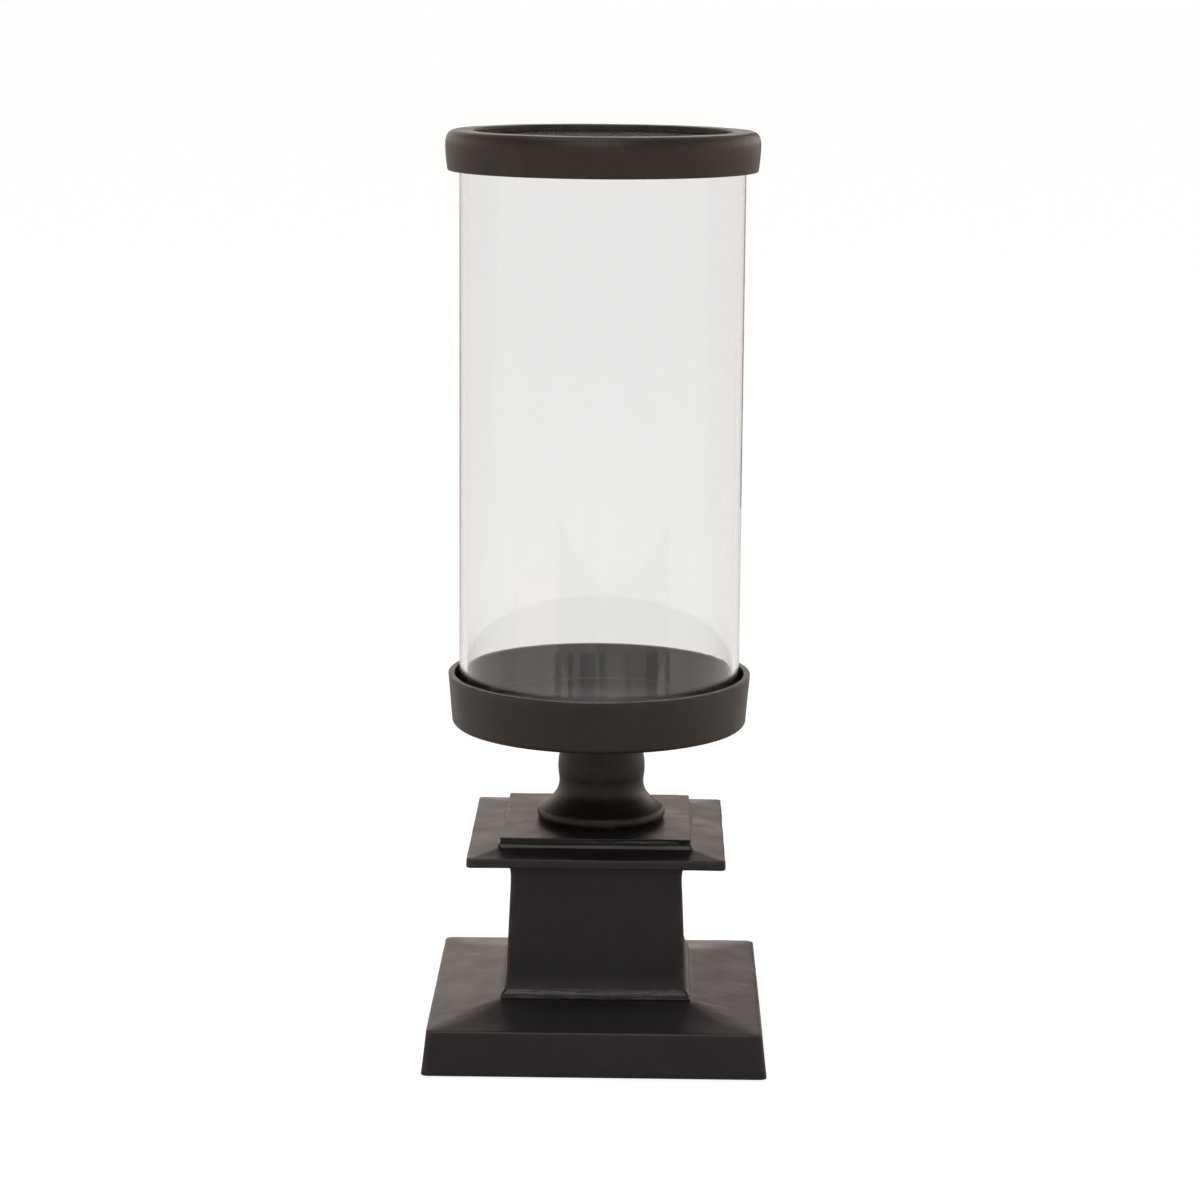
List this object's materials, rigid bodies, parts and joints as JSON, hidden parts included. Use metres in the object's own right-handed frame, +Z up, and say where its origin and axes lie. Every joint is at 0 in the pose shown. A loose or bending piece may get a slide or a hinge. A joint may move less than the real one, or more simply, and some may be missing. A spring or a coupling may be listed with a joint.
{
  "type": "hurricane candle lantern",
  "caption": "Hurricane candle lantern: a lift-off open glass chimney standing in a round tray on a square stepped cast pedestal, capped by a loose metal ring.",
  "frame": {"origin": "on the table, under the middle of the square plinth", "axes": "+Z up along the chimney's axis; X and Y square to the plinth's sides"},
  "size_m": [0.1568, 0.1568, 0.422],
  "materials": {
    "coated_casting": "matte",
    "clear_glass": "gloss",
    "plated_steel": "satin",
    "soft_strip": "matte",
    "pad_felt": "matte"
  },
  "bodies": {
    "pedestal": {"foot_pads": "pad_felt", "plinth": "coated_casting", "column": "coated_casting", "capital_plate": "coated_casting", "abacus_plate": "coated_casting", "neck": "coated_casting", "candle_tray": "coated_casting", "tie_rod": "plated_steel", "flat_washer": "plated_steel", "spring_washer": "plated_steel", "hex_nut": "plated_steel"},
    "chimney": {"glass_chimney": "clear_glass"},
    "ring": {"top_ring": "coated_casting", "ring_gasket": "soft_strip"}
  },
  "joints": [
    {"name": "chimney_lift", "type": "slide", "parent": "pedestal", "child": "chimney", "axis": [0, 0, 1], "range_m": [0, 0.03]},
    {"name": "ring_lift", "type": "slide", "parent": "chimney", "child": "ring", "axis": [0, 0, 1], "range_m": [0, 0.02]}
  ]
}
